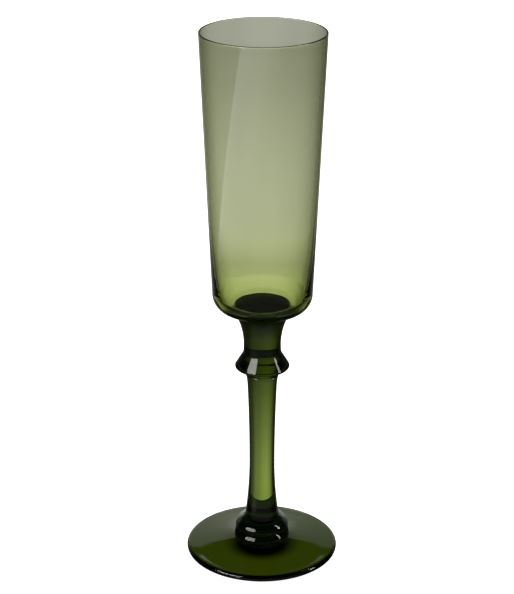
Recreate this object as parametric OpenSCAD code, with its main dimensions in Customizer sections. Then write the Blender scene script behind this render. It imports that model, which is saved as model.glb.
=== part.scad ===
// Champagne flute in coloured glass, worked hot from separate gathers:
// a drawn foot, a double bead, a waisted stem, a flared collar, a waisted
// neck and a tall tapered bowl, all fused end to end on one upright axis.
// Every piece is turned about Z, and the foot stands on Z = 0.

/* [Levels of the fused joints] */
// Height of the rim above the table
rim_z = 245; // [238:0.5:252]
// Height where the bowl's underside would cut the neck's curve
underside_root_z = 117.6; // [117:0.1:118.2]
// Joint between collar and neck
neck_joint_z = 98.4; // [97.6:0.1:99]
// Joint between stem and collar
collar_joint_z = 88.5; // [88.2:0.1:88.6]
// Joint between the two base beads
bead_joint_z = 10.6; // [10.4:0.1:10.8]
// Joint between foot and lower bead
foot_joint_z = 5; // [4.6:0.1:5.4]

/* [Bowl] */
// Outer diameter of the rim
rim_d = 55.1; // [52:0.1:58]
// Lean of the outer wall from upright, degrees
wall_lean = 2.5; // [2:0.1:3]
// Radius of the outer corner between wall and underside
corner_r = 8; // [7:0.1:9]
// Rise of the underside from level, degrees
underside_rise = 21; // [16:1:24]
// Wall thickness at the rim
rim_t = 1; // [0.8:0.05:1.4]
// Extra wall thickness gained towards the corner
wall_gain = 2; // [1.4:0.1:2.4]
// Height over which the extra thickness fades
wall_fade = 16; // [12:1:22]
// Height at which the inner corner meets the inner wall
inner_corner_z = 127; // [126.5:0.1:128]
// Radius of the inner corner
inner_corner_r = 6; // [5:0.1:6.5]
// Slope of the dished floor where it meets the corner, degrees
floor_dish = 8; // [4:1:10]

/* [Neck and collar] */
// Radius of the neck at its waist
neck_waist_r = 8.38; // [8:0.02:8.8]
// Height of the neck's waist
neck_waist_z = 102.4; // [101.5:0.1:103.5]
// Radius of the neck's hollow curve in profile
neck_curve_r = 32; // [31:0.5:34]
// Fillet between the neck's curve and the bowl's underside
neck_fillet_r = 3; // [2:0.5:4]
// Radius of the collar at its lip
collar_r = 12.27; // [12:0.01:12.8]
// Height of the collar's lip
collar_lip_z = 92.2; // [92:0.1:92.6]
// Rounding of the collar's lip
collar_lip_round = 1.1; // [0.9:0.05:1.3]
// Radius of the joint under the collar
collar_root_r = 6.5; // [6.3:0.05:6.7]
// Fillet between that joint and the collar's underside
collar_fillet_r = 2.4; // [2.1:0.1:2.6]

/* [Stem] */
// Radius of the stem at its waist
stem_waist_r = 5.8; // [5.4:0.05:6.2]
// Height of the stem's waist
stem_waist_z = 45; // [40:1:50]
// Radius of the stem's profile curve below the waist
stem_lower_curve_r = 200; // [170:5:240]
// Radius of the stem's profile curve above the waist
stem_upper_curve_r = 800; // [700:10:1200]
// Height at which the flare below the collar starts
stem_flare_z = 83; // [80:0.5:84]
// Radius of that flare's profile curve
stem_flare_r = 22; // [20:1:40]
// Height of the shoulder at the stem's top
stem_shoulder_z = 87.2; // [87:0.1:87.4]
// Rounding of that shoulder
stem_shoulder_round = 1.5; // [1.45:0.05:1.8]

/* [Base beads] */
// Radius of the upper bead's round shoulder
upper_bead_round = 5; // [4.8:0.1:5.4]
// Outer radius of the upper bead
upper_bead_r = 12.1; // [11.9:0.05:12.3]
// Height of the upper bead's widest ring
upper_bead_z = 11.7; // [11.5:0.1:11.9]
// Radius of the lower bead's round profile
lower_bead_round = 5; // [4.8:0.1:5.4]
// Outer radius of the lower bead
lower_bead_r = 12.6; // [12.4:0.05:12.8]
// Height of the lower bead's widest ring
lower_bead_z = 7; // [6.8:0.1:7.2]

/* [Foot] */
// Diameter of the foot
foot_d = 69.4; // [66:0.2:74]
// Thickness of the foot's rounded edge
foot_edge_t = 3.2; // [2.8:0.1:3.6]
// Width of the flat ring that the foot stands on
rest_ring_w = 3; // [2:0.1:5]
// Height of the hollow under the middle of the foot
foot_hollow_h = 1.5; // [1:0.1:2]

/* [Hidden] */
$fn = 128;
glass_green = [0.36, 0.42, 0.16, 0.75];
arc_steps = 12;
fine_steps = 24;
wall_steps = 16;

// Points on a circle about [cx, cz] from angle a to angle b
function arc(cx, cz, r, a, b, n) =
    [for (i = [0 : n]) let (t = a + (b - a) * i / n) [cx + r * cos(t), cz + r * sin(t)]];

// How far a circle of radius r falls away at distance d from its crown
function arc_rise(r, d) = r - sqrt(r * r - d * d);

// Centre of the circle of radius r that touches two lines from inside;
// each line is a point and an outward unit normal
function touching_centre(p, pn, q, qn, r) =
    let (
        a = p * pn - r,
        b = q * qn - r,
        det = pn[0] * qn[1] - pn[1] * qn[0]
    )
    [(a * qn[1] - b * pn[1]) / det, (pn[0] * b - qn[0] * a) / det];

// Radii of the pieces at any height, shared by the pieces that meet there
function neck_r(z) = neck_waist_r + arc_rise(neck_curve_r, z - neck_waist_z);
function stem_r(z) = z < stem_waist_z
    ? stem_waist_r + arc_rise(stem_lower_curve_r, stem_waist_z - z)
    : stem_waist_r + arc_rise(stem_upper_curve_r, z - stem_waist_z)
        + arc_rise(stem_flare_r, max(0, z - stem_flare_z));

// Outer bowl: wall line, underside line and the corner between them
rim_r = rim_d / 2;
wall_out = [cos(wall_lean), -sin(wall_lean)];
underside_out = [sin(underside_rise), -cos(underside_rise)];
underside_run = [cos(underside_rise), sin(underside_rise)];

// Fillet that touches the neck's hollow curve and the bowl's underside
neck_curve_c = [neck_waist_r + neck_curve_r, neck_waist_z];
fillet_start = [neck_r(underside_root_z), underside_root_z]
    + neck_fillet_r * underside_out - neck_curve_c;
fillet_back = fillet_start * underside_run;
fillet_shift = -fillet_back - sqrt(fillet_back ^ 2 - fillet_start * fillet_start
    + (neck_curve_r - neck_fillet_r) ^ 2);
fillet_arm = fillet_start + fillet_shift * underside_run;
fillet_c = neck_curve_c + fillet_arm;
fillet_low_a = atan2(fillet_arm[1], fillet_arm[0]);
fillet_low_z = fillet_c[1] + neck_fillet_r * sin(fillet_low_a);
bowl_joint = fillet_c - neck_fillet_r * underside_out;
corner_c = touching_centre([rim_r, rim_z], wall_out, bowl_joint, underside_out, corner_r);
function wall_outer_r(z) = rim_r - (rim_z - z) * tan(wall_lean);

// Inner bowl: the wall thins upwards, then runs into a rounded rim
function wall_t(z) = rim_t + wall_gain * exp((inner_corner_z - z) / wall_fade);
function wall_inner_r(z) = wall_outer_r(z) - wall_t(z);
inner_wall_r = wall_inner_r(inner_corner_z);
inner_lean = atan(tan(wall_lean) + wall_gain / wall_fade);
inner_corner_c = [
    inner_wall_r - inner_corner_r * cos(inner_lean),
    inner_corner_z + inner_corner_r * sin(inner_lean)
];
floor_edge = inner_corner_c + inner_corner_r * [sin(floor_dish), -cos(floor_dish)];
floor_curve_r = floor_edge[0] / sin(floor_dish);
rim_round = rim_t / 2;
rim_shoulder_z = rim_z - rim_round;

// Height where the upper bead's round profile meets the stem, by repeated steps
function bead_meets_stem(z, n) = n == 0 ? z
    : bead_meets_stem(
        upper_bead_z + sqrt(upper_bead_round ^ 2 - (stem_r(z) - upper_bead_r + upper_bead_round) ^ 2),
        n - 1);
stem_joint_z = bead_meets_stem(upper_bead_z + upper_bead_round, 20);
upper_bead_c = upper_bead_r - upper_bead_round;

function lower_bead_at(z) = lower_bead_r - arc_rise(lower_bead_round, z - lower_bead_z);
bead_groove_r = lower_bead_at(bead_joint_z);
bead_root_r = lower_bead_at(foot_joint_z);
groove_out = upper_bead_r - bead_groove_r;
groove_up = upper_bead_z - bead_joint_z;
groove_round = (groove_out ^ 2 + groove_up ^ 2) / (2 * groove_out);

module turned(points) {
    rotate_extrude() polygon(points);
}

// Tall tapered cup with a thick rounded base
module bowl() {
    outer_corner = arc(corner_c[0], corner_c[1], corner_r, underside_rise - 90, -wall_lean, arc_steps);
    rim = arc(rim_r - rim_round, rim_shoulder_z, rim_round, 0, 180, arc_steps);
    wall_h = rim_shoulder_z - inner_corner_z;
    inner_wall = [for (i = [0 : wall_steps - 1])
        let (z = inner_corner_z + wall_h * (1 - i / wall_steps) ^ 2)
        if (i > 0) [wall_inner_r(z), z]];
    inner_corner = arc(inner_corner_c[0], inner_corner_c[1], inner_corner_r,
        -inner_lean, floor_dish - 90, arc_steps);
    dish = arc(0, floor_edge[1] + floor_curve_r * cos(floor_dish), floor_curve_r,
        floor_dish - 90, -90, arc_steps);
    color(glass_green)
        turned(concat([[0, bowl_joint[1]], bowl_joint], outer_corner, rim,
            inner_wall, inner_corner, [for (i = [1 : arc_steps]) dish[i]]));
}

// Waisted length between bowl and collar, filleted where it meets the bowl
module neck() {
    side = [for (i = [0 : fine_steps])
        let (z = neck_joint_z + (fillet_low_z - neck_joint_z) * i / fine_steps) [neck_r(z), z]];
    fillet = arc(fillet_c[0], fillet_c[1], neck_fillet_r,
        fillet_low_a, underside_rise + 90, arc_steps);
    color(glass_green)
        turned(concat([[0, neck_joint_z]], side,
            [for (i = [1 : arc_steps]) fillet[i]], [[0, bowl_joint[1]]]));
}

// Flared ring with a rounded lip, filleted underneath
module collar() {
    neck_root_r = neck_r(neck_joint_z);
    lip_c = [collar_r - collar_lip_round, collar_lip_z];
    reach = lip_c - [neck_root_r, neck_joint_z];
    flare_a = atan2(reach[1], reach[0]) + 90 - asin(collar_lip_round / norm(reach));
    under_a = 5;
    fillet = arc(collar_root_r + collar_fillet_r, collar_joint_z, collar_fillet_r,
        180, 90 + under_a, arc_steps);
    lip = arc(lip_c[0], lip_c[1], collar_lip_round, under_a - 90, flare_a, arc_steps);
    color(glass_green)
        turned(concat([[0, collar_joint_z]], fillet, lip,
            [[neck_root_r, neck_joint_z], [0, neck_joint_z]]));
}

// Slender column, waisted low down, with a soft shoulder at its top
module stem() {
    shoulder_c = stem_r(stem_shoulder_z) - stem_shoulder_round;
    top_a = asin((collar_joint_z - stem_shoulder_z) / stem_shoulder_round);
    side = [for (i = [0 : fine_steps])
        let (z = stem_joint_z + (stem_shoulder_z - stem_joint_z) * i / fine_steps) [stem_r(z), z]];
    shoulder = arc(shoulder_c, stem_shoulder_z, stem_shoulder_round, 0, top_a, arc_steps);
    color(glass_green)
        turned(concat([[0, stem_joint_z]], side,
            [for (i = [1 : arc_steps]) shoulder[i]], [[0, collar_joint_z]]));
}

// Round-shouldered bead that the stem grows out of, rounded under as well
module upper_bead() {
    top_a = asin((stem_joint_z - upper_bead_z) / upper_bead_round);
    under = arc(upper_bead_r - groove_round, upper_bead_z, groove_round,
        -asin(groove_up / groove_round), 0, arc_steps);
    side = arc(upper_bead_c, upper_bead_z, upper_bead_round, 0, top_a, fine_steps);
    color(glass_green)
        turned(concat([[0, bead_joint_z]], under,
            [for (i = [1 : fine_steps]) side[i]], [[0, stem_joint_z]]));
}

// Fuller bead between the upper bead and the foot
module lower_bead() {
    side = arc(lower_bead_r - lower_bead_round, lower_bead_z, lower_bead_round,
        asin((foot_joint_z - lower_bead_z) / lower_bead_round),
        asin((bead_joint_z - lower_bead_z) / lower_bead_round), fine_steps);
    color(glass_green)
        turned(concat([[0, foot_joint_z]], side, [[0, bead_joint_z]]));
}

// Hollow-curved disc with a full round edge, standing on a flat ring round a hollow
module foot() {
    edge_round = foot_edge_t / 2;
    edge_c = foot_d / 2 - edge_round;
    top_run = edge_c - bead_root_r;
    top_rise = foot_joint_z - foot_edge_t;
    top_curve_r = (top_run ^ 2 + top_rise ^ 2) / (2 * top_rise);
    ring_in = edge_c - rest_ring_w;
    hollow_curve_r = (ring_in ^ 2 + foot_hollow_h ^ 2) / (2 * foot_hollow_h);
    hollow_a = asin(ring_in / hollow_curve_r);
    hollow = arc(0, foot_hollow_h - hollow_curve_r, hollow_curve_r, 90, 90 - hollow_a, arc_steps);
    edge = arc(edge_c, edge_round, edge_round, -90, 90, arc_steps);
    top = arc(edge_c, foot_edge_t + top_curve_r, top_curve_r,
        -90, -90 - asin(top_run / top_curve_r), arc_steps);
    color(glass_green)
        turned(concat(hollow, edge, [for (i = [1 : arc_steps]) top[i]], [[0, foot_joint_z]]));
}

bowl();
neck();
collar();
stem();
upper_bead();
lower_bead();
foot();
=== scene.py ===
"""Looks of a champagne flute in clear olive green glass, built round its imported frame."""

import logging
import math
from dataclasses import dataclass, field
from enum import Enum
from functools import lru_cache
from typing import Callable, Iterable

import bmesh
import bpy
from mathutils import Matrix, Vector


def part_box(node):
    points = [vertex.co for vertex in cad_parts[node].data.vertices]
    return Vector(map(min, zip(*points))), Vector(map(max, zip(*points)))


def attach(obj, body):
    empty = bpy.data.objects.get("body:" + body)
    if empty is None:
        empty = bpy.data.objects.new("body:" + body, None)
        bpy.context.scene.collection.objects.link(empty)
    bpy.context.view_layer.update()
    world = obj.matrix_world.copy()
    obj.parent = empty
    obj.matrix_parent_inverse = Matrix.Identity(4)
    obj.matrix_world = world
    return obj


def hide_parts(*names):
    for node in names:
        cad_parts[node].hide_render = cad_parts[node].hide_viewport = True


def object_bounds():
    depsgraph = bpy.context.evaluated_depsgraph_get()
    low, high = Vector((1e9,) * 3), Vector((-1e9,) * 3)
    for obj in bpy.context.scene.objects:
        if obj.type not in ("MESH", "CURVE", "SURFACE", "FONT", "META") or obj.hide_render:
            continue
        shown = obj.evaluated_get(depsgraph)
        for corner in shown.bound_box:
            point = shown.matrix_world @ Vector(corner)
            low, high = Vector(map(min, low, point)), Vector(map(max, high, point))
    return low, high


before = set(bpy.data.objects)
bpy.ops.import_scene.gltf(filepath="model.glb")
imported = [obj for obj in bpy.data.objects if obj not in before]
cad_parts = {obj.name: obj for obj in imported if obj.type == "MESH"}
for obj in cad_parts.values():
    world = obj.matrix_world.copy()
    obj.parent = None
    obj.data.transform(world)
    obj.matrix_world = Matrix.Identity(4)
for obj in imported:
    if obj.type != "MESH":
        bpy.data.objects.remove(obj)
CAD_LOW, CAD_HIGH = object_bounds()

log = logging.getLogger("flute")

MM = 0.001
SEGMENTS = 192
JOINT_GAP = 0.005 * MM
MERGE_DISTANCE = 0.0005 * MM
CREASE_ANGLE = math.radians(25)
FUSED = "fused"
BOWL_RISE = math.radians(21.0)
NEARLY_UPRIGHT = 1e-6
FIRST_BOUNCE = 1.5
ROOT = "root"

Pairs = tuple[tuple[float, float], ...]


def rise_of_arc(radius: float, distance: float) -> float:
    """How far a circle falls away at a distance from its crown.

    Args:
        radius: Radius of the circle.
        distance: Distance from the crown, along the tangent there.

    Returns:
        The fall, in the same unit.
    """
    return radius - math.sqrt(radius * radius - distance * distance)


def touching_centre(
    p: Vector, p_out: Vector, q: Vector, q_out: Vector, radius: float
) -> Vector:
    """Centre of the circle that touches two lines from their inner sides.

    Args:
        p: A point on the first line.
        p_out: Unit normal of the first line, pointing out of the glass.
        q: A point on the second line.
        q_out: Unit normal of the second line, pointing out of the glass.
        radius: Radius of the circle.

    Returns:
        The centre, as a radius and a height.
    """
    a = p.dot(p_out) - radius
    b = q.dot(q_out) - radius
    det = p_out.x * q_out.y - p_out.y * q_out.x
    return Vector(((a * q_out.y - b * p_out.y) / det, (p_out.x * b - q_out.x * a) / det))


@lru_cache(maxsize=None)
def extent(node: str) -> tuple[float, float, float]:
    """Largest radius, lowest level and highest level of a CAD node, in metres."""
    low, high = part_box(node)
    return high.x, low.z, high.z


def reach(node: str) -> float:
    """Largest radius of a CAD node, in metres."""
    return extent(node)[0]


def levels(node: str) -> tuple[float, float]:
    """Lowest and highest level of a CAD node, in metres."""
    return extent(node)[1:]


class Profile:
    """Half outline of a turned piece, traced as one wire and then spun about the axis."""

    def __init__(self) -> None:
        """Starts with an empty wire."""
        self.mesh = bmesh.new()
        self.tip: bmesh.types.BMVert | None = None

    def point(self, radius: float, height: float) -> "Profile":
        """Runs the wire straight on to a point.

        Args:
            radius: Distance from the axis, in metres.
            height: Height above the foot's underside, in metres.

        Returns:
            The profile, so that calls can be chained.
        """
        vert = self.mesh.verts.new((radius, 0.0, height))
        if self.tip is not None:
            self.mesh.edges.new((self.tip, vert))
        self.tip = vert
        return self

    def arc(self, centre: tuple[float, float], sweep: float, steps: int) -> "Profile":
        """Runs the wire on round a centre.

        Args:
            centre: Radius and height of the arc's centre, in metres.
            sweep: Angle turned in radians, anticlockwise with the axis on the left.
            steps: Number of straight steps in the arc.

        Returns:
            The profile, so that calls can be chained.
        """
        turned = bmesh.ops.spin(
            self.mesh,
            geom=[self.tip],
            cent=(centre[0], 0.0, centre[1]),
            axis=(0.0, -math.copysign(1.0, sweep), 0.0),
            angle=abs(sweep),
            steps=steps,
            use_merge=False,
            use_duplicate=False,
        )
        self.tip = next(v for v in turned["geom_last"] if isinstance(v, bmesh.types.BMVert))
        return self

    def curve(
        self, radius_at: Callable[[float], float], low: float, high: float, steps: int
    ) -> "Profile":
        """Runs the wire along a curve that gives a radius for each height.

        The steps grow short towards both ends, so that the shading of a tight bend next to
        the curve doesn't spread along it.

        Args:
            radius_at: Radius at a height, both in metres.
            low: Height where the curve starts.
            high: Height where the curve ends.
            steps: Number of straight steps.

        Returns:
            The profile, so that calls can be chained.
        """
        for i in range(steps + 1):
            height = low + (high - low) * (1 - math.cos(math.pi * i / steps)) / 2
            here = Vector((radius_at(height), 0.0, height))
            if self.tip is None or (self.tip.co - here).length > MERGE_DISTANCE:
                self.point(here.x, here.z)
        return self

    def turn(self, name: str, joints: Iterable[float]) -> bpy.types.Object:
        """Spins the wire into a closed piece and marks its fused faces.

        Args:
            name: Name of the new object.
            joints: Heights of the flat faces where the piece is fused to a neighbour.

        Returns:
            The finished object, linked to the scene.
        """
        mesh = self.mesh
        bmesh.ops.spin(
            mesh,
            geom=mesh.verts[:] + mesh.edges[:],
            cent=(0.0, 0.0, 0.0),
            axis=(0.0, 0.0, 1.0),
            angle=math.tau,
            steps=SEGMENTS,
            use_merge=True,
            use_duplicate=False,
        )
        bmesh.ops.remove_doubles(mesh, verts=mesh.verts[:], dist=MERGE_DISTANCE)
        bmesh.ops.recalc_face_normals(mesh, faces=mesh.faces[:])
        fused = mesh.faces.layers.float.new(FUSED)
        for face in mesh.faces:
            face.smooth = True
            flat = all(
                any(abs(v.co.z - z) < MERGE_DISTANCE for z in joints) for v in face.verts
            )
            face[fused] = 1.0 if flat else 0.0
        data = bpy.data.meshes.new(name)
        mesh.to_mesh(data)
        mesh.free()
        data.set_sharp_from_angle(angle=CREASE_ANGLE)
        piece = bpy.data.objects.new(name, data)
        bpy.context.scene.collection.objects.link(piece)
        return piece


class Out(Enum):
    """What a shared node group puts out."""

    ROUGHNESS = "Roughness"
    HEIGHT = "Height"
    ALPHA = "Alpha"


def new_group(name: str, inputs: dict[str, float], output: Out) -> bpy.types.NodeTree:
    """Makes a shader node group with plain number inputs and one number output.

    Args:
        name: Name of the group.
        inputs: Default of each input socket.
        output: What the group puts out.

    Returns:
        The new node tree, with its input and output nodes in place.
    """
    tree = bpy.data.node_groups.new(name, "ShaderNodeTree")
    for socket, default in inputs.items():
        made = tree.interface.new_socket(socket, in_out="INPUT", socket_type="NodeSocketFloat")
        made.default_value = default
    tree.interface.new_socket(output.value, in_out="OUTPUT", socket_type="NodeSocketFloat")
    tree.nodes.new("NodeGroupInput").name = "in"
    tree.nodes.new("NodeGroupOutput").name = "out"
    return tree


def math_node(
    tree: bpy.types.NodeTree, operation: str, *values: "float | bpy.types.NodeSocket"
) -> bpy.types.NodeSocket:
    """Adds a Math node.

    Args:
        tree: Tree to add it to.
        operation: Blender's name of the operation.
        values: Numbers or sockets, one for each input.

    Returns:
        The node's output socket.
    """
    node = tree.nodes.new("ShaderNodeMath")
    node.operation = operation
    for slot, value in zip(node.inputs, values):
        if isinstance(value, bpy.types.NodeSocket):
            tree.links.new(value, slot)
        else:
            slot.default_value = value
    return node.outputs[0]


def object_noise(
    tree: bpy.types.NodeTree, scale: "float | bpy.types.NodeSocket",
    stretch: tuple[float, float, float], detail: float,
) -> bpy.types.NodeSocket:
    """Adds noise on Object coordinates.

    Args:
        tree: Tree to add it to.
        scale: Scale of the noise, per metre, as a number or a socket.
        stretch: Scale of the pattern along X, Y and Z.
        detail: Octaves of the noise.

    Returns:
        The noise value, from 0 to 1.
    """
    place = tree.nodes.new("ShaderNodeTexCoord")
    mapping = tree.nodes.new("ShaderNodeMapping")
    mapping.inputs["Scale"].default_value = stretch
    noise = tree.nodes.new("ShaderNodeTexNoise")
    noise.inputs["Detail"].default_value = detail
    tree.links.new(place.outputs["Object"], mapping.inputs["Vector"])
    tree.links.new(mapping.outputs["Vector"], noise.inputs["Vector"])
    if isinstance(scale, bpy.types.NodeSocket):
        tree.links.new(scale, noise.inputs["Scale"])
    else:
        noise.inputs["Scale"].default_value = scale
    return noise.outputs["Fac"]


def drawn_waves_group() -> bpy.types.NodeTree:
    """Soft waves that drawing and turning hot glass leave in its skin.

    Returns:
        The node group, which puts out a height.
    """
    drawn_out = (1.0, 1.0, 0.12)
    turned_round = (1.0, 1.0, 6.0)
    tree = new_group("drawn_waves", {"Along": 40.0, "Round": 6.0, "Share": 0.5}, Out.HEIGHT)
    start, end = tree.nodes["in"], tree.nodes["out"]
    long_waves = object_noise(tree, start.outputs["Along"], drawn_out, detail=1.0)
    rings = object_noise(tree, start.outputs["Round"], turned_round, detail=1.0)
    share = start.outputs["Share"]
    rest = math_node(tree, "SUBTRACT", 1.0, share)
    total = math_node(
        tree, "ADD",
        math_node(tree, "MULTIPLY", long_waves, rest),
        math_node(tree, "MULTIPLY", rings, share),
    )
    tree.links.new(total, end.inputs["Height"])
    return tree


def wiped_skin_group() -> bpy.types.NodeTree:
    """Roughness of glass that is polished, with faint smears left by wiping.

    Returns:
        The node group, which puts out a roughness.
    """
    smears_per_metre = 35.0
    wiped_upwards = (1.0, 1.0, 0.35)
    clean_below, smeared_above = 0.52, 0.72
    tree = new_group("wiped_skin", {"Polish": 0.0, "Smear": 0.02}, Out.ROUGHNESS)
    start, end = tree.nodes["in"], tree.nodes["out"]
    smears = object_noise(tree, smears_per_metre, wiped_upwards, detail=3.0)
    ramp = tree.nodes.new("ShaderNodeMapRange")
    ramp.interpolation_type = "SMOOTHSTEP"
    ramp.inputs["From Min"].default_value = clean_below
    ramp.inputs["From Max"].default_value = smeared_above
    tree.links.new(smears, ramp.inputs["Value"])
    smeared = math_node(tree, "MULTIPLY", ramp.outputs["Result"], start.outputs["Smear"])
    tree.links.new(math_node(tree, "ADD", smeared, start.outputs["Polish"]), end.inputs["Roughness"])
    return tree


def fused_faces_group() -> bpy.types.NodeTree:
    """Alpha that leaves nothing of a face where two pieces have melted together.

    Returns:
        The node group, which puts out an alpha.
    """
    tree = new_group("fused_faces", {"Keep": 1.0}, Out.ALPHA)
    start, end = tree.nodes["in"], tree.nodes["out"]
    mark = tree.nodes.new("ShaderNodeAttribute")
    mark.attribute_name = FUSED
    kept = math_node(tree, "SUBTRACT", start.outputs["Keep"], mark.outputs["Fac"])
    tree.links.new(kept, end.inputs["Alpha"])
    return tree


@dataclass(frozen=True)
class GlassFinish:
    """Clear glass coloured through its whole thickness.

    Attributes:
        name: Name of the finish and of its material.
        skin: Colour of the surface, nearly clear.
        absorb_colour: Colour that passes furthest.
        absorb_density: Strength of the absorption per metre.
        ior: Index of refraction.
        polish: Roughness of the clean surface.
        smear: Extra roughness where the surface was wiped.
        wave_along: Scale of the waves that run up the piece, per metre.
        wave_round: Scale of the waves that run round the piece, per metre.
        ring_share: Share of the waves that run round the piece.
        wave_height: Height of the waves, in metres.
    """

    name: str
    skin: tuple[float, float, float] = (0.985, 0.992, 0.965)
    absorb_colour: tuple[float, float, float] = (0.707, 0.793, 0.2)
    absorb_density: float = 300.0
    ior: float = 1.5
    polish: float = 0.0
    smear: float = 0.012
    wave_along: float = 60.0
    wave_round: float = 60.0
    ring_share: float = 0.5
    wave_height: float = 0.02 * MM

    def material(self, groups: dict[str, bpy.types.NodeTree]) -> bpy.types.Material:
        """Makes the material.

        Args:
            groups: The shared node groups by name.

        Returns:
            A new node material.
        """
        made = bpy.data.materials.new(self.name)
        made.use_nodes = True
        tree = made.node_tree
        shader = tree.nodes["Principled BSDF"]
        output = tree.nodes["Material Output"]
        shader.inputs["Base Color"].default_value = (*self.skin, 1.0)
        shader.inputs["IOR"].default_value = self.ior
        shader.inputs["Transmission Weight"].default_value = 1.0
        self._place(tree, groups["wiped_skin"], {"Polish": self.polish, "Smear": self.smear},
                    shader.inputs["Roughness"])
        self._place(tree, groups["fused_faces"], {}, shader.inputs["Alpha"])
        bump = tree.nodes.new("ShaderNodeBump")
        bump.inputs["Strength"].default_value = 1.0
        bump.inputs["Distance"].default_value = self.wave_height
        self._place(
            tree, groups["drawn_waves"],
            {"Along": self.wave_along, "Round": self.wave_round, "Share": self.ring_share},
            bump.inputs["Height"],
        )
        tree.links.new(bump.outputs["Normal"], shader.inputs["Normal"])
        absorption = tree.nodes.new("ShaderNodeVolumeAbsorption")
        absorption.inputs["Color"].default_value = (*self.absorb_colour, 1.0)
        absorption.inputs["Density"].default_value = self.absorb_density
        tree.links.new(absorption.outputs["Volume"], output.inputs["Volume"])
        return made

    def _place(
        self, tree: bpy.types.NodeTree, group: bpy.types.NodeTree,
        values: dict[str, float], into: bpy.types.NodeSocket,
    ) -> None:
        """Places a shared group in the material with this finish's own values.

        Args:
            tree: The material's node tree.
            group: The shared group.
            values: Value of each of the group's inputs.
            into: Socket that takes the group's output.
        """
        node = tree.nodes.new("ShaderNodeGroup")
        node.node_tree = group
        for name, value in values.items():
            node.inputs[name].default_value = value
        tree.links.new(node.outputs[0], into)


BOWL_GLASS = GlassFinish("bowl_glass", absorb_colour=(0.707, 0.793, 0.15))
STEM_GLASS = GlassFinish("stem_glass", absorb_colour=(0.707, 0.793, 0.317))
FOOT_GLASS = GlassFinish("foot_glass", absorb_colour=(0.707, 0.793, 0.133))


@dataclass
class GlassPiece:
    """One turned piece of the flute.

    Attributes:
        node: CAD node that the piece stands for.
        slot: Slot of the record whose finish the piece takes; not used.
        joined_below: Whether the piece is fused to one below it.
        joined_above: Whether the piece is fused to one above it.
    """

    node: str
    slot: str
    joined_below: bool = True
    joined_above: bool = True

    @property
    def low(self) -> float:
        """Level of the piece's underside, a hair above the joint if it is fused there."""
        return levels(self.node)[0] + (JOINT_GAP if self.joined_below else 0.0)

    @property
    def high(self) -> float:
        """Level of the piece's top, a hair below the joint if it is fused there."""
        return levels(self.node)[1] - (JOINT_GAP if self.joined_above else 0.0)

    def trace(self) -> Profile:
        """Traces the piece's half outline."""
        raise NotImplementedError

    def build(self, material: bpy.types.Material) -> bpy.types.Object:
        """Turns the piece, dresses it and puts it in its node's place.

        Args:
            material: The glass it is made of.

        Returns:
            The finished piece.
        """
        joints = [
            *([self.low] if self.joined_below else []),
            *([self.high] if self.joined_above else []),
        ]
        piece = self.trace().turn(f"{self.node}_glass", joints)
        piece.data.materials.append(material)
        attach(piece, ROOT)
        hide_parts(self.node)
        return piece


@dataclass
class Bowl(GlassPiece):
    """Tall tapered cup, thin at its rim and thick at its base.

    Attributes:
        lean: Lean of the outer wall from upright.
        corner: Radius of the outer corner.
        rise: Rise of the underside from level.
        rim: Wall thickness at the rim.
        gain: Extra wall thickness gained towards the corner.
        fade: Height over which the extra thickness fades.
        inner_level: Height where the inner corner meets the inner wall.
        inner_corner: Radius of the inner corner.
        dish: Slope of the floor where it meets the corner.
    """

    lean: float = math.radians(2.5)
    corner: float = 8.0 * MM
    rise: float = BOWL_RISE
    rim: float = 1.0 * MM
    gain: float = 2.0 * MM
    fade: float = 16.0 * MM
    inner_level: float = 127.0 * MM
    inner_corner: float = 6.0 * MM
    dish: float = math.radians(8.0)

    def outer_radius(self, height: float) -> float:
        """Outer radius of the wall at a height."""
        return reach(self.node) - (self.high - height) * math.tan(self.lean)

    def inner_radius(self, height: float) -> float:
        """Inner radius of the wall at a height."""
        extra = self.gain * math.exp((self.inner_level - height) / self.fade)
        return self.outer_radius(height) - self.rim - extra

    def trace(self) -> Profile:
        """Traces the underside, the outer wall, the rim and the inside.

        Returns:
            The half outline.
        """
        neck_top = reach("neck")
        wall_out = Vector((math.cos(self.lean), -math.sin(self.lean)))
        under_out = Vector((math.sin(self.rise), -math.cos(self.rise)))
        corner = touching_centre(
            Vector((reach(self.node), self.high)), wall_out,
            Vector((neck_top, self.low)), under_out, self.corner,
        )
        start = corner + under_out * self.corner
        rim_round = self.rim / 2
        shoulder = self.high - rim_round
        inner_lean = math.atan(math.tan(self.lean) + self.gain / self.fade)
        inner_out = Vector((math.cos(inner_lean), -math.sin(inner_lean)))
        inner_foot = Vector((self.inner_radius(self.inner_level), self.inner_level))
        inner_centre = inner_foot - inner_out * self.inner_corner
        floor_edge = inner_centre + self.inner_corner * Vector(
            (math.sin(self.dish), -math.cos(self.dish))
        )
        floor_curve = floor_edge.x / math.sin(self.dish)
        floor_centre = floor_edge.y + floor_curve * math.cos(self.dish)
        outline = Profile()
        outline.point(0.0, self.low).point(neck_top, self.low).point(start.x, start.y)
        outline.arc(tuple(corner), math.pi / 2 - self.rise - self.lean, steps=20)
        wall_foot = corner.y - self.corner * math.sin(self.lean)
        outline.curve(self.outer_radius, wall_foot, shoulder, steps=40)
        outline.arc((reach(self.node) - rim_round, shoulder), math.pi, steps=14)
        outline.curve(self.inner_radius, shoulder, self.inner_level, steps=48)
        outline.arc(tuple(inner_centre), -(math.pi / 2 - self.dish - inner_lean), steps=16)
        outline.arc((0.0, floor_centre), -self.dish, steps=16)
        return outline


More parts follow.
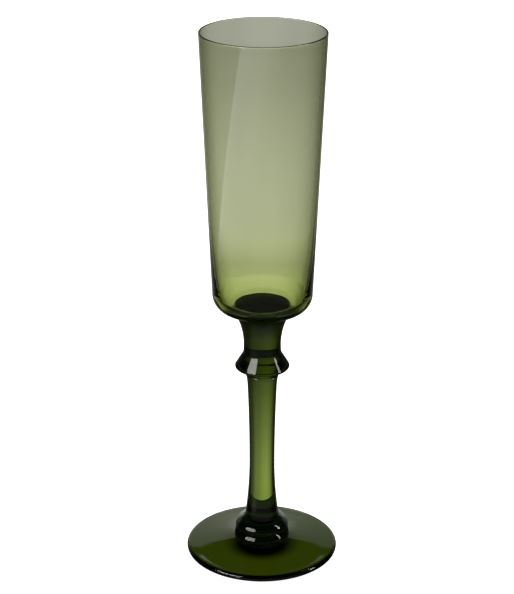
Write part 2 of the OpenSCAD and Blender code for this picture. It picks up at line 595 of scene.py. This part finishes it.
@dataclass
class Neck(GlassPiece):
    """Waisted length between bowl and collar, filleted where it meets the bowl.

    Attributes:
        waist: Radius at the waist.
        waist_level: Height of the waist.
        hollow: Radius of the hollow curve in profile.
        fillet: Radius of the fillet under the bowl.
        rise: Rise from level of the bowl's underside, where the fillet ends.
    """

    waist: float = 8.38 * MM
    waist_level: float = 102.4 * MM
    hollow: float = 32.0 * MM
    fillet: float = 3.0 * MM
    rise: float = BOWL_RISE

    def radius(self, height: float) -> float:
        """Radius of the neck's hollow curve at a height."""
        return self.waist + rise_of_arc(self.hollow, height - self.waist_level)

    def trace(self) -> Profile:
        """Traces the hollow side and the fillet between the two fused faces.

        Returns:
            The half outline.
        """
        under_out = Vector((math.sin(self.rise), -math.cos(self.rise)))
        top = Vector((reach(self.node), self.high))
        centre = top + self.fillet * under_out
        arm = centre - Vector((self.waist + self.hollow, self.waist_level))
        start = centre + self.fillet * arm.normalized()
        turn = math.atan2(arm.y, arm.x) - (self.rise + math.pi / 2)
        outline = Profile().point(0.0, self.low)
        outline.curve(self.radius, self.low, start.y, steps=48)
        outline.arc(tuple(centre), -turn, steps=16)
        return outline.point(0.0, outline.tip.co.z)


@dataclass
class Collar(GlassPiece):
    """Flared ring with a rounded lip and a filleted underside.

    Attributes:
        neck: The neck that the collar meets above.
        lip_level: Height of the lip.
        lip_round: Rounding of the lip.
        root: Radius of the joint under the collar.
        fillet: Fillet between that joint and the underside.
        under: Slope of the underside.
    """

    neck: Neck = field(default_factory=lambda: Neck("neck", "stem_glass"))
    lip_level: float = 92.2 * MM
    lip_round: float = 1.1 * MM
    root: float = 6.5 * MM
    fillet: float = 2.4 * MM
    under: float = math.radians(5.0)

    def trace(self) -> Profile:
        """Traces the fillet, the underside, the lip and the flare.

        Returns:
            The half outline.
        """
        top = Vector((self.neck.radius(self.high), self.high))
        lip = Vector((reach(self.node) - self.lip_round, self.lip_level))
        away = lip - top
        flare = math.atan2(away.y, away.x) + math.pi / 2 - math.asin(self.lip_round / away.length)
        start = lip + self.lip_round * Vector((math.sin(self.under), -math.cos(self.under)))
        outline = Profile().point(0.0, self.low).point(self.root, self.low)
        outline.arc((self.root + self.fillet, self.low), self.under - math.pi / 2, steps=16)
        outline.point(start.x, start.y)
        outline.arc(tuple(lip), flare + math.pi / 2 - self.under, steps=32)
        foot = outline.tip.co
        slope = (top.x - foot.x) / (top.y - foot.z)
        outline.curve(lambda height: top.x + (height - top.y) * slope, foot.z, top.y, steps=24)
        return outline.point(0.0, self.high)


@dataclass
class Stem(GlassPiece):
    """Slender column, waisted low down, with a soft shoulder at its top.

    Attributes:
        waist: Radius at the waist.
        waist_level: Height of the waist.
        lower_curve: Radius of the profile curve below the waist.
        upper_curve: Radius of the profile curve above the waist.
        flare_level: Height at which the flare at the top starts.
        flare_curve: Radius of that flare's profile curve.
        shoulder_level: Height of the shoulder.
        shoulder_round: Rounding of the shoulder.
    """

    waist: float = 5.8 * MM
    waist_level: float = 45.0 * MM
    lower_curve: float = 200.0 * MM
    upper_curve: float = 800.0 * MM
    flare_level: float = 83.0 * MM
    flare_curve: float = 22.0 * MM
    shoulder_level: float = 87.2 * MM
    shoulder_round: float = 1.5 * MM

    def radius(self, height: float) -> float:
        """Radius of the column at a height, below its shoulder.

        Args:
            height: The height, in metres.

        Returns:
            The radius, in metres.
        """
        above = height - self.waist_level
        curve = self.upper_curve if above > 0 else self.lower_curve
        flare = rise_of_arc(self.flare_curve, max(0.0, height - self.flare_level))
        return self.waist + rise_of_arc(curve, above) + flare

    def trace(self) -> Profile:
        """Traces the column and the shoulder between the two fused faces.

        Returns:
            The half outline.
        """
        turn_in = math.asin((self.high - self.shoulder_level) / self.shoulder_round)
        centre = self.radius(self.shoulder_level) - self.shoulder_round
        outline = Profile().point(0.0, self.low)
        outline.curve(self.radius, self.low, self.shoulder_level, steps=64)
        outline.arc((centre, self.shoulder_level), turn_in, steps=14)
        return outline.point(0.0, self.high)


@dataclass
class LowerBead(GlassPiece):
    """Fuller bead between the upper bead and the foot.

    Attributes:
        curve: Radius of the round profile.
        widest: Height of the widest ring.
    """

    curve: float = 5.0 * MM
    widest: float = 7.0 * MM

    def radius(self, height: float) -> float:
        """Radius of the bead at a height."""
        return reach(self.node) - rise_of_arc(self.curve, height - self.widest)

    def trace(self) -> Profile:
        """Traces the round side between the two fused faces.

        Returns:
            The half outline.
        """
        low_turn = math.asin((self.low - self.widest) / self.curve)
        high_turn = math.asin((self.high - self.widest) / self.curve)
        outline = Profile().point(0.0, self.low).point(self.radius(self.low), self.low)
        outline.arc((reach(self.node) - self.curve, self.widest), high_turn - low_turn, steps=32)
        return outline.point(0.0, self.high)


@dataclass
class UpperBead(GlassPiece):
    """Round-shouldered bead that the stem grows out of, rounded under as well.

    Attributes:
        curve: Radius of the round shoulder.
        widest: Height of the widest ring.
        below: The bead it is fused to.
    """

    curve: float = 5.0 * MM
    widest: float = 11.7 * MM
    below: LowerBead = field(default_factory=lambda: LowerBead("lower_bead", "stem_glass"))

    def trace(self) -> Profile:
        """Traces the rounded underside and the shoulder between the two fused faces.

        Returns:
            The half outline.
        """
        groove = self.below.radius(self.below.high)
        out = reach(self.node) - groove
        up = self.widest - self.low
        under = (out * out + up * up) / (2 * out)
        outline = Profile().point(0.0, self.low).point(groove, self.low)
        outline.arc((reach(self.node) - under, self.widest), math.asin(up / under), steps=16)
        high_turn = math.asin((self.high - self.widest) / self.curve)
        outline.arc((reach(self.node) - self.curve, self.widest), high_turn, steps=40)
        return outline.point(0.0, outline.tip.co.z)


@dataclass
class Foot(GlassPiece):
    """Hollow-curved disc with a full round edge, standing on a flat ring round a hollow.

    Attributes:
        edge: Thickness of the rounded edge.
        ring: Width of the flat ring.
        hollow: Height of the hollow under the middle.
        above: The bead it is fused to.
    """

    edge: float = 3.2 * MM
    ring: float = 3.0 * MM
    hollow: float = 1.5 * MM
    above: LowerBead = field(default_factory=lambda: LowerBead("lower_bead", "stem_glass"))

    def trace(self) -> Profile:
        """Traces the hollow, the flat ring, the edge and the hollow-curved top.

        Returns:
            The half outline.
        """
        edge_round = self.edge / 2
        middle = reach(self.node) - edge_round
        ring_in = middle - self.ring
        curve = (ring_in * ring_in + self.hollow * self.hollow) / (2 * self.hollow)
        run = middle - self.above.radius(self.above.low)
        rise = self.high - self.low - self.edge
        top_curve = (run * run + rise * rise) / (2 * rise)
        outline = Profile().point(0.0, self.low + self.hollow)
        outline.arc((0.0, self.low + self.hollow - curve), -math.asin(ring_in / curve), steps=48)
        outline.point(middle, self.low)
        outline.arc((middle, self.low + edge_round), math.pi, steps=28)
        outline.arc((middle, self.low + self.edge + top_curve), -math.asin(run / top_curve), steps=24)
        return outline.point(0.0, self.high)


class Seen(Enum):
    """How the glass sees a lit panel."""

    MIRRORED = "in its outer faces"
    THROUGH = "through its body"
    BOTH = "both ways"


@dataclass(frozen=True)
class Panel:
    """A lit panel far from the glass, which only the glass sees.

    Attributes:
        bearing: Bearing of the panel's middle in degrees, 0 along -Y and 90 along +X.
        sides: Degrees anticlockwise from the middle, with the share of the light at each.
        stops: Elevations in degrees with the brightness at each, from low to high.
        seen: How the glass sees the panel.
        levels: Heights at which rays pass the axis, with the share of light at each; none
            where the height makes no difference.
        droop: Degrees that the stops hang lower for each degree away from the middle.
        lean: Degrees that the panel leans anticlockwise for each metre above its turning level.
        lean_level: Height at which the panel stands at its bearing.
    """

    bearing: float
    sides: Pairs
    stops: Pairs
    seen: Seen = Seen.BOTH
    levels: Pairs = ()
    droop: float = 0.0
    lean: float = 0.0
    lean_level: float = 0.0


def even_sides(half_width: float, soft: float) -> Pairs:
    """Sides of a panel that fades alike on its left and right.

    Args:
        half_width: Half the panel's width, in degrees.
        soft: Softness of each upright edge, in degrees.

    Returns:
        The sides, as a panel takes them.
    """
    return (
        (-half_width - soft, 0.0), (soft - half_width, 1.0),
        (half_width - soft, 1.0), (half_width + soft, 0.0),
    )


def in_radians(stops: Pairs) -> Pairs:
    """Turns stops along an angle in degrees into stops in radians."""
    return tuple((math.radians(place), share) for place, share in stops)


class DomeNodes:
    """Builds the glow of the dome round the glass out of its panels."""

    def __init__(self, tree: bpy.types.NodeTree) -> None:
        """Reads the direction of each ray and the height at which it passes the axis.

        Args:
            tree: The dome's node tree.
        """
        self.tree = tree
        spot = tree.nodes.new("ShaderNodeNewGeometry")
        back = tree.nodes.new("ShaderNodeVectorMath")
        back.operation = "SCALE"
        back.inputs["Scale"].default_value = -1.0
        tree.links.new(spot.outputs["Incoming"], back.inputs[0])
        self.x, self.y, self.z = self._split(back.outputs["Vector"])
        px, py, pz = self._split(spot.outputs["Position"])
        flat = self._math("ADD", self._math("MULTIPLY", self.x, self.x),
                          self._math("MULTIPLY", self.y, self.y))
        flat = self._math("MAXIMUM", flat, NEARLY_UPRIGHT)
        run = self._math("ADD", self._math("MULTIPLY", px, self.x),
                         self._math("MULTIPLY", py, self.y))
        fall = self._math("DIVIDE", self._math("MULTIPLY", run, self.z), flat)
        self.passing = self._math("SUBTRACT", pz, fall)
        self.elevation = self._math("ARCSINE", self.z)
        self.bearing = self._math("ARCTAN2", self.x, self._math("MULTIPLY", self.y, -1.0))
        path = tree.nodes.new("ShaderNodeLightPath")
        first = self._math("LESS_THAN", path.outputs["Ray Depth"], FIRST_BOUNCE)
        self.mirrored = self._math("MULTIPLY", path.outputs["Is Reflection Ray"], first)
        self.through = self._math("SUBTRACT", 1.0, self.mirrored)

    def _split(self, vector: bpy.types.NodeSocket) -> tuple[bpy.types.NodeSocket, ...]:
        """Splits a vector into its three parts.

        Args:
            vector: The vector.

        Returns:
            Its X, Y and Z.
        """
        node = self.tree.nodes.new("ShaderNodeSeparateXYZ")
        self.tree.links.new(vector, node.inputs[0])
        return tuple(node.outputs)

    def _math(self, operation: str, *values: "float | bpy.types.NodeSocket") -> bpy.types.NodeSocket:
        """Adds a Math node to the dome's tree."""
        return math_node(self.tree, operation, *values)

    def ramp(
        self, value: bpy.types.NodeSocket, stops: Pairs, blend: str = "LINEAR"
    ) -> bpy.types.NodeSocket:
        """Adds a ramp through a list of stops, level beyond its first and its last.

        Args:
            value: Value that runs along the ramp.
            stops: Places along the ramp, in the value's unit, and the result at each.
            blend: Blender's name of the way from one stop to the next.

        Returns:
            The ramp's result.
        """
        low, high = stops[0][0], stops[-1][0]
        full = max(result for _, result in stops)
        span = self.tree.nodes.new("ShaderNodeMapRange")
        span.inputs["From Min"].default_value = low
        span.inputs["From Max"].default_value = high
        self.tree.links.new(value, span.inputs["Value"])
        ramp = self.tree.nodes.new("ShaderNodeValToRGB")
        ramp.color_ramp.interpolation = blend
        elements = ramp.color_ramp.elements
        while len(elements) < len(stops):
            elements.new(0.5)
        for element, (place, result) in zip(elements, stops):
            element.position = (place - low) / (high - low)
            element.color = (result / full, result / full, result / full, 1.0)
        self.tree.links.new(span.outputs["Result"], ramp.inputs["Fac"])
        return self._math("MULTIPLY", ramp.outputs["Color"], full)

    def panel(self, panel: Panel) -> bpy.types.NodeSocket:
        """Adds one panel.

        Args:
            panel: The panel.

        Returns:
            The panel's brightness.
        """
        middle = math.radians(panel.bearing)
        away = self._math("SUBTRACT", self.bearing, middle)
        if panel.lean:
            above = self._math("SUBTRACT", self.passing, panel.lean_level)
            away = self._math("SUBTRACT", away,
                              self._math("MULTIPLY", above, math.radians(panel.lean)))
        away = self._math("WRAP", away, math.pi, -math.pi)
        share = self.ramp(away, in_radians(panel.sides), "EASE")
        hang = self._math("MULTIPLY", self._math("ABSOLUTE", away), panel.droop)
        height = self._math("ADD", self.elevation, hang)
        glow = self.ramp(height, in_radians(panel.stops))
        lit = self._math("MULTIPLY", share, glow)
        if panel.levels:
            lit = self._math("MULTIPLY", lit, self.ramp(self.passing, panel.levels))
        if panel.seen is Seen.MIRRORED:
            lit = self._math("MULTIPLY", lit, self.mirrored)
        elif panel.seen is Seen.THROUGH:
            lit = self._math("MULTIPLY", lit, self.through)
        return lit


BEHIND = 225.0
NEAR = 45.0
BEHIND_LEFT = 270.0
BEHIND_RIGHT = 180.0

BOWL_LEVELS = (
    (116.5 * MM, 0.0), (118.5 * MM, 1.0), (125 * MM, 1.3), (134 * MM, 1.39), (137 * MM, 1.16),
    (142 * MM, 1.0),
)
STEM_LEVELS = (
    (21 * MM, 0.0), (24 * MM, 0.68), (33 * MM, 0.66), (49 * MM, 0.513), (64 * MM, 0.374),
    (79 * MM, 0.245), (86 * MM, 0.18), (93 * MM, 0.13), (104 * MM, 0.144), (112 * MM, 0.06),
    (116.5 * MM, 0.05), (118.5 * MM, 0.0),
)
SIDE_LEVELS = (
    (28 * MM, 0.0), (36 * MM, 0.8), (47 * MM, 0.9), (75 * MM, 0.5), (83 * MM, 0.3),
    (90 * MM, 0.05), (116.5 * MM, 0.02), (118.5 * MM, 1.0),
)
FOOT_LEVELS = (
    (-10 * MM, 0.75), (-7 * MM, 0.68), (-4 * MM, 0.58), (0.0, 0.46), (3 * MM, 0.38),
    (5.5 * MM, 0.36), (7.5 * MM, 0.0), (10.5 * MM, 0.0), (12 * MM, 1.0), (18 * MM, 1.0),
    (24 * MM, 0.0),
)
BAND_LEVELS = ((150 * MM, 0.0), (172 * MM, 1.0))
COLLAR_LEVELS = ((40 * MM, 0.0), (60 * MM, 1.0))
KNOB_LEVELS = ((40 * MM, 1.0), (60 * MM, 0.0))

# Seen through the bowl: brighter towards the middle and lower down.
BEHIND_BOWL = Panel(
    BEHIND,
    sides=(
        (-50.0, 0.0), (-30.0, 0.15), (-20.0, 0.3), (-12.0, 0.52), (-8.0, 0.76), (-5.0, 0.85),
        (-4.0, 0.9), (-3.0, 0.95), (-2.0, 1.0), (4.0, 1.0), (8.0, 0.88), (11.0, 0.85),
        (15.0, 0.73), (19.0, 0.57), (27.0, 0.35), (40.0, 0.1), (55.0, 0.0),
    ),
    stops=(
        (-60.0, 0.0), (-50.0, 0.1), (-43.0, 0.28), (-37.0, 0.43), (-30.0, 0.54),
        (-25.0, 0.535), (-22.0, 0.625), (-20.0, 0.57), (-19.0, 0.55), (-18.0, 0.523),
        (-17.0, 0.475), (-16.1, 0.43), (-15.5, 0.39), (-15.2, 0.375), (-14.6, 0.355),
        (-14.3, 0.33), (-14.1, 0.4), (-11.0, 0.41), (10.0, 0.34), (14.0, 0.0),
    ),
    levels=BOWL_LEVELS,
)
# Seen through the neck and the stem: dimmer towards the neck.
BEHIND_STEM = Panel(
    BEHIND,
    sides=(
        (-60.0, 0.0), (-49.0, 0.14), (-34.0, 0.22), (-24.0, 0.46), (-16.0, 0.6), (-8.0, 0.7),
        (-2.0, 0.84), (5.0, 0.96), (12.0, 1.0), (20.0, 0.96), (29.0, 0.74), (41.0, 0.3),
        (52.0, 0.0),
    ),
    stops=(
        (-60.0, 0.0), (-45.0, 1.0), (-15.0, 1.0), (-8.0, 0.6), (0.0, 0.3), (6.0, 0.2),
        (14.0, 0.0),
    ),
    levels=STEM_LEVELS,
)
# Mirrored in the far half of the foot, up to a clean upper edge.
FOOT_CARD = Panel(
    BEHIND,
    sides=(
        (-65.0, 0.0), (-40.0, 0.2), (-20.0, 0.6), (-10.0, 0.7), (-2.0, 0.7), (2.0, 1.0),
        (12.0, 1.0), (22.0, 0.8), (38.0, 0.25), (50.0, 0.15), (65.0, 0.0),
    ),
    stops=(
        (-35.0, 0.0), (-25.0, 0.5), (2.0, 0.8), (11.0, 2.2), (18.0, 2.0), (20.0, 1.7),
        (22.0, 1.25), (24.0, 1.1), (27.0, 1.0), (30.1, 1.0), (31.0, 0.0),
    ),
    seen=Seen.MIRRORED,
    levels=FOOT_LEVELS,
    droop=0.1,
)
# Fill from the near side, for the bowl's far wall and for a look from behind.
NEAR_FILL = Panel(
    NEAR, even_sides(35.0, 25.0),
    ((-19.5, 0.0), (-17.5, 0.5), (-5.0, 0.4), (10.0, 0.35), (25.0, 0.0)),
    Seen.THROUGH, SIDE_LEVELS,
)
# Pale table in front, mirrored in everything that faces it.
NEAR_TABLE = Panel(
    NEAR, even_sides(70.0, 30.0),
    ((-75.0, 0.0), (-60.0, 0.2), (-45.0, 0.2), (-30.0, 0.12), (-5.0, 0.12), (0.0, 0.0)),
    Seen.MIRRORED,
)
SIDE_WINDOW = ((-10.0, 0.0), (-6.0, 0.45), (9.0, 0.45), (14.0, 0.0))
RIGHT_WINDOW = Panel(BEHIND_RIGHT, even_sides(27.0, 6.0), SIDE_WINDOW, levels=SIDE_LEVELS)
LEFT_WINDOW = Panel(BEHIND_LEFT, even_sides(27.0, 6.0), SIDE_WINDOW, levels=SIDE_LEVELS)
# The softbox left of the camera makes the short highlights on the collar and on the beads.
COLLAR_SOFTBOX = Panel(
    354.0, even_sides(21.0, 2.0), ((10.0, 0.0), (16.0, 6.5), (37.0, 6.5), (40.0, 0.0)),
    Seen.MIRRORED, COLLAR_LEVELS,
)
KNOB_SOFTBOX = Panel(
    354.0, even_sides(21.0, 2.0), ((1.0, 0.0), (4.0, 5.5), (30.0, 5.5), (33.0, 0.0)),
    Seen.MIRRORED, KNOB_LEVELS,
)
# A leaning screen draws the slanted pale band on the left of the bowl.
LEANING_SCREEN = Panel(
    328.3, ((-2.0, 0.0), (2.0, 1.0), (10.0, 0.75), (30.0, 0.5), (80.0, 0.0)),
    ((-38.0, 0.0), (-30.0, 1.6), (-12.0, 1.6), (-4.0, 0.0)),
    Seen.MIRRORED, BAND_LEVELS, lean=760.0, lean_level=205.0 * MM,
)
STEM_SHEEN = Panel(
    344.0, even_sides(18.0, 8.0), ((-38.0, 0.0), (-30.0, 0.4), (-12.0, 0.4), (-4.0, 0.0)),
    Seen.MIRRORED, STEM_LEVELS,
)
NARROW_STRIP = Panel(
    125.0, even_sides(4.0, 1.5), ((-3.0, 0.0), (2.0, 7.0), (44.0, 7.0), (48.0, 0.0)),
    Seen.MIRRORED,
)


@dataclass
class Studio:
    """Plain pale floor, soft light, lit panels round the glass and the camera.

    Attributes:
        camera_bearing: Bearing at which the camera stands, in degrees.
        camera_distance: Level distance from the axis to the camera.
        camera_height: Height of the camera.
        camera_pitch: How far the camera looks down, in degrees.
        camera_heading: How far the camera looks to the right of the axis, in degrees.
        camera_roll: Roll of the camera, in degrees.
        lens: Focal length for a 36 mm sensor.
        floor_size: Radius of the floor.
        floor_grey: Paleness of the floor's paint.
        floor_glow: Light that the floor gives off by itself, so that it stays even.
        sun_power: Power of the light over the floor.
        sun_spread: Spread of that light, in degrees.
        bounces: How many times light is followed through the glass.
        fused_bounces: How many fused faces light passes on its way.
        dome_size: Radius of the dome that carries the panels.
        dim: Brightness between the panels.
        panels: The lit panels.
        underfoot_size: Radius of the painted shadow that the foot stands on: a dim glowing patch,
            seen only by the glass, that stands for the floor in the foot's shade.
        underfoot_drop: Depth of that patch under the foot.
        underfoot_dark: Distance from the axis within which the patch is dark.
        underfoot_lit: Distance from the axis beyond which the patch is fully lit.
        underfoot_shadow_glow: Colour of the painted shadow's glow, the light that the shaded floor
            under the foot would give back.
    """

    camera_bearing: float = 45.0
    camera_distance: float = 783.0 * MM
    camera_height: float = 436.2 * MM
    camera_pitch: float = 21.68
    camera_heading: float = -0.178
    camera_roll: float = 0.115
    lens: float = 115.15
    floor_size: float = 12.0
    floor_grey: float = 0.8
    floor_glow: float = 0.86
    sun_power: float = 0.8
    sun_spread: float = 100.0
    bounces: int = 24
    fused_bounces: int = 32
    dome_size: float = 8.0
    dim: float = 0.012
    panels: tuple[Panel, ...] = (
        BEHIND_BOWL, BEHIND_STEM, FOOT_CARD, NEAR_FILL, NEAR_TABLE, RIGHT_WINDOW, LEFT_WINDOW,
        COLLAR_SOFTBOX, KNOB_SOFTBOX, LEANING_SCREEN, STEM_SHEEN, NARROW_STRIP,
    )
    # Painted shadow under the foot: a dim glowing patch that only the glass sees.
    underfoot_size: float = 34.4 * MM
    underfoot_drop: float = 0.3 * MM
    underfoot_dark: float = 9.0 * MM
    underfoot_lit: float = 19.0 * MM
    underfoot_shadow_glow: tuple[float, float, float] = (0.036, 0.05, 0.001)

    def build(self) -> None:
        """Builds the whole studio."""
        self.place_camera()
        self.lay_floor()
        self.light_floor()
        self.raise_dome()
        self.shade_underfoot()
        self.set_render()

    def place_camera(self) -> None:
        """Creates the camera and makes it the scene's own."""
        data = bpy.data.cameras.new("camera")
        data.lens = self.lens
        data.sensor_width = 36.0
        camera = bpy.data.objects.new("camera", data)
        stand = math.radians(self.camera_bearing)
        camera.location = (
            self.camera_distance * math.sin(stand),
            -self.camera_distance * math.cos(stand),
            self.camera_height,
        )
        turn = Matrix.Rotation(stand - math.radians(self.camera_heading), 4, "Z")
        tilt = Matrix.Rotation(math.pi / 2 - math.radians(self.camera_pitch), 4, "X")
        roll = Matrix.Rotation(math.radians(self.camera_roll), 4, "Z")
        camera.rotation_euler = (turn @ tilt @ roll).to_euler()
        bpy.context.scene.collection.objects.link(camera)
        bpy.context.scene.camera = camera

    def lay_floor(self) -> None:
        """Lays the pale floor; the glass itself sees the panels instead of it."""
        mesh = bmesh.new()
        bmesh.ops.create_circle(mesh, cap_ends=True, segments=96, radius=self.floor_size)
        paint = bpy.data.materials.new("floor_paint")
        paint.use_nodes = True
        shader = paint.node_tree.nodes["Principled BSDF"]
        shader.inputs["Base Color"].default_value = (*[self.floor_grey] * 3, 1.0)
        shader.inputs["Roughness"].default_value = 0.9
        shader.inputs["Specular IOR Level"].default_value = 0.0
        shader.inputs["Emission Color"].default_value = (1.0, 1.0, 1.0, 1.0)
        shader.inputs["Emission Strength"].default_value = self.floor_glow
        floor = self._stage_piece("floor", mesh, paint)
        floor.location.z = CAD_LOW.z
        floor.visible_transmission = False
        floor.visible_glossy = False

    def light_floor(self) -> None:
        """Hangs one broad soft light over the floor, which the glass doesn't mirror."""
        data = bpy.data.lights.new("overhead", "SUN")
        data.angle = math.radians(self.sun_spread)
        data.energy = self.sun_power
        light = bpy.data.objects.new("overhead", data)
        light.visible_camera = False
        light.visible_glossy = False
        light.visible_transmission = False
        bpy.context.scene.collection.objects.link(light)
        world = bpy.data.worlds.new("studio")
        bpy.context.scene.world = world
        world.use_nodes = True
        world.node_tree.nodes["Background"].inputs["Color"].default_value = (1.0, 1.0, 1.0, 1.0)

    def raise_dome(self) -> None:
        """Raises the dome that carries the lit panels round the glass."""
        mesh = bmesh.new()
        bmesh.ops.create_icosphere(mesh, subdivisions=4, radius=self.dome_size)
        glow = bpy.data.materials.new("dome_glow")
        glow.use_nodes = True
        tree = glow.node_tree
        tree.nodes.clear()
        dome = DomeNodes(tree)
        total: bpy.types.NodeSocket | float = self.dim
        for panel in self.panels:
            total = math_node(tree, "ADD", total, dome.panel(panel))
        emission = tree.nodes.new("ShaderNodeEmission")
        output = tree.nodes.new("ShaderNodeOutputMaterial")
        tree.links.new(total, emission.inputs["Strength"])
        tree.links.new(emission.outputs[0], output.inputs["Surface"])
        self._hide(self._stage_piece("dome", mesh, glow))

    def shade_underfoot(self) -> None:
        """Lays the painted shadow that the glass of the foot looks down on: a glowing patch, dark in
        the middle, standing for the floor in the foot's shade.
        """
        mesh = bmesh.new()
        bmesh.ops.create_circle(mesh, cap_ends=True, segments=96, radius=self.underfoot_size)
        glow = bpy.data.materials.new("underfoot_shadow_glow")
        glow.use_nodes = True
        tree = glow.node_tree
        tree.nodes.clear()
        place = tree.nodes.new("ShaderNodeTexCoord")
        away = tree.nodes.new("ShaderNodeVectorMath")
        away.operation = "LENGTH"
        tree.links.new(place.outputs["Object"], away.inputs[0])
        middle = tree.nodes.new("ShaderNodeMapRange")
        middle.interpolation_type = "SMOOTHSTEP"
        middle.inputs["From Min"].default_value = self.underfoot_dark
        middle.inputs["From Max"].default_value = self.underfoot_lit
        tree.links.new(away.outputs["Value"], middle.inputs["Value"])
        emission = tree.nodes.new("ShaderNodeEmission")
        # Painted shadow: the patch glows dimly and is darkest under the middle of the foot.
        emission.inputs["Color"].default_value = (*self.underfoot_shadow_glow, 1.0)
        tree.links.new(middle.outputs["Result"], emission.inputs["Strength"])
        output = tree.nodes.new("ShaderNodeOutputMaterial")
        tree.links.new(emission.outputs[0], output.inputs["Surface"])
        patch = self._stage_piece("underfoot", mesh, glow)
        patch.location.z = CAD_LOW.z - self.underfoot_drop
        self._hide(patch)

    def _stage_piece(
        self, name: str, mesh: bmesh.types.BMesh, material: bpy.types.Material
    ) -> bpy.types.Object:
        """Makes a piece of the stage out of a mesh.

        Args:
            name: Name of the piece.
            mesh: Its mesh, freed afterwards.
            material: Its material.

        Returns:
            The new object.
        """
        data = bpy.data.meshes.new(name)
        mesh.to_mesh(data)
        mesh.free()
        data.materials.append(material)
        piece = bpy.data.objects.new(name, data)
        bpy.context.scene.collection.objects.link(piece)
        return piece

    def _hide(self, piece: bpy.types.Object) -> None:
        """Leaves a piece of the stage visible to the glass alone.

        Args:
            piece: The piece of the stage.
        """
        piece.visible_camera = False
        piece.visible_diffuse = False
        piece.visible_shadow = False

    def set_render(self) -> None:
        """Sets how deep light is followed into the glass, and plain colour."""
        scene = bpy.context.scene
        scene.view_settings.view_transform = "Standard"
        scene.cycles.max_bounces = self.bounces
        scene.cycles.transmission_bounces = self.bounces
        scene.cycles.glossy_bounces = self.bounces
        scene.cycles.transparent_max_bounces = self.fused_bounces
        scene.cycles.diffuse_bounces = 0


def main() -> None:
    """Builds the flute piece by piece, then the studio round it."""
    logging.basicConfig(level=logging.INFO, format="%(name)s: %(message)s")
    groups = {
        "drawn_waves": drawn_waves_group(),
        "wiped_skin": wiped_skin_group(),
        "fused_faces": fused_faces_group(),
    }
    bowl_glass = BOWL_GLASS.material(groups)
    stem_glass = STEM_GLASS.material(groups)
    foot_glass = FOOT_GLASS.material(groups)
    for piece, glass in (
        (Bowl("bowl", "bowl_glass", joined_above=False), bowl_glass),
        (Neck("neck", "stem_glass"), stem_glass),
        (Collar("collar", "stem_glass"), stem_glass),
        (Stem("stem", "stem_glass"), stem_glass),
        (UpperBead("upper_bead", "stem_glass"), stem_glass),
        (LowerBead("lower_bead", "stem_glass"), stem_glass),
        (Foot("foot", "foot_glass", joined_below=False), foot_glass),
    ):
        made = piece.build(glass)
        log.info("%s: %d faces", made.name, len(made.data.polygons))
    Studio().build()


if __name__ == "__main__":
    main()
